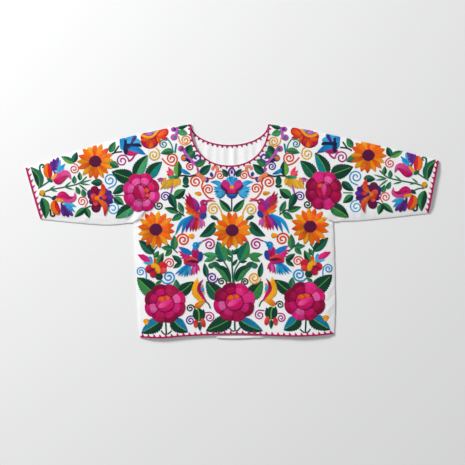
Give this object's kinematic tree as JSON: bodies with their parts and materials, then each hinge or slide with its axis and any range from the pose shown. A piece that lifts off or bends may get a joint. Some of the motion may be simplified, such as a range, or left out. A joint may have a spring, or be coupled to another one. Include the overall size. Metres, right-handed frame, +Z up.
{
  "type": "huipil blouse",
  "caption": "Embroidered cotton huipil blouse with a scooped neck and wide elbow-length sleeves, laid flat with its front up.",
  "frame": {"origin": "middle of the blouse's extent, on the surface that it lies on", "axes": "+X from the sleeve on the picture's left to the one on its right, +Y from hem to neck, +Z up off the surface, out of the front of the blouse"},
  "size_m": [1.1451, 0.5934, 0.0103],
  "materials": {
    "cotton": "matt plain weave",
    "thread": "satin stitch"
  },
  "bodies": {
    "root": {"front_panel": "cotton", "back_panel": "cotton", "sleeve_left": "cotton", "sleeve_right": "cotton", "front_neck_edging": "thread", "back_neck_edging": "thread", "hem_edging": "thread", "cuff_edging_left": "thread", "cuff_edging_right": "thread"}
  },
  "joints": []
}
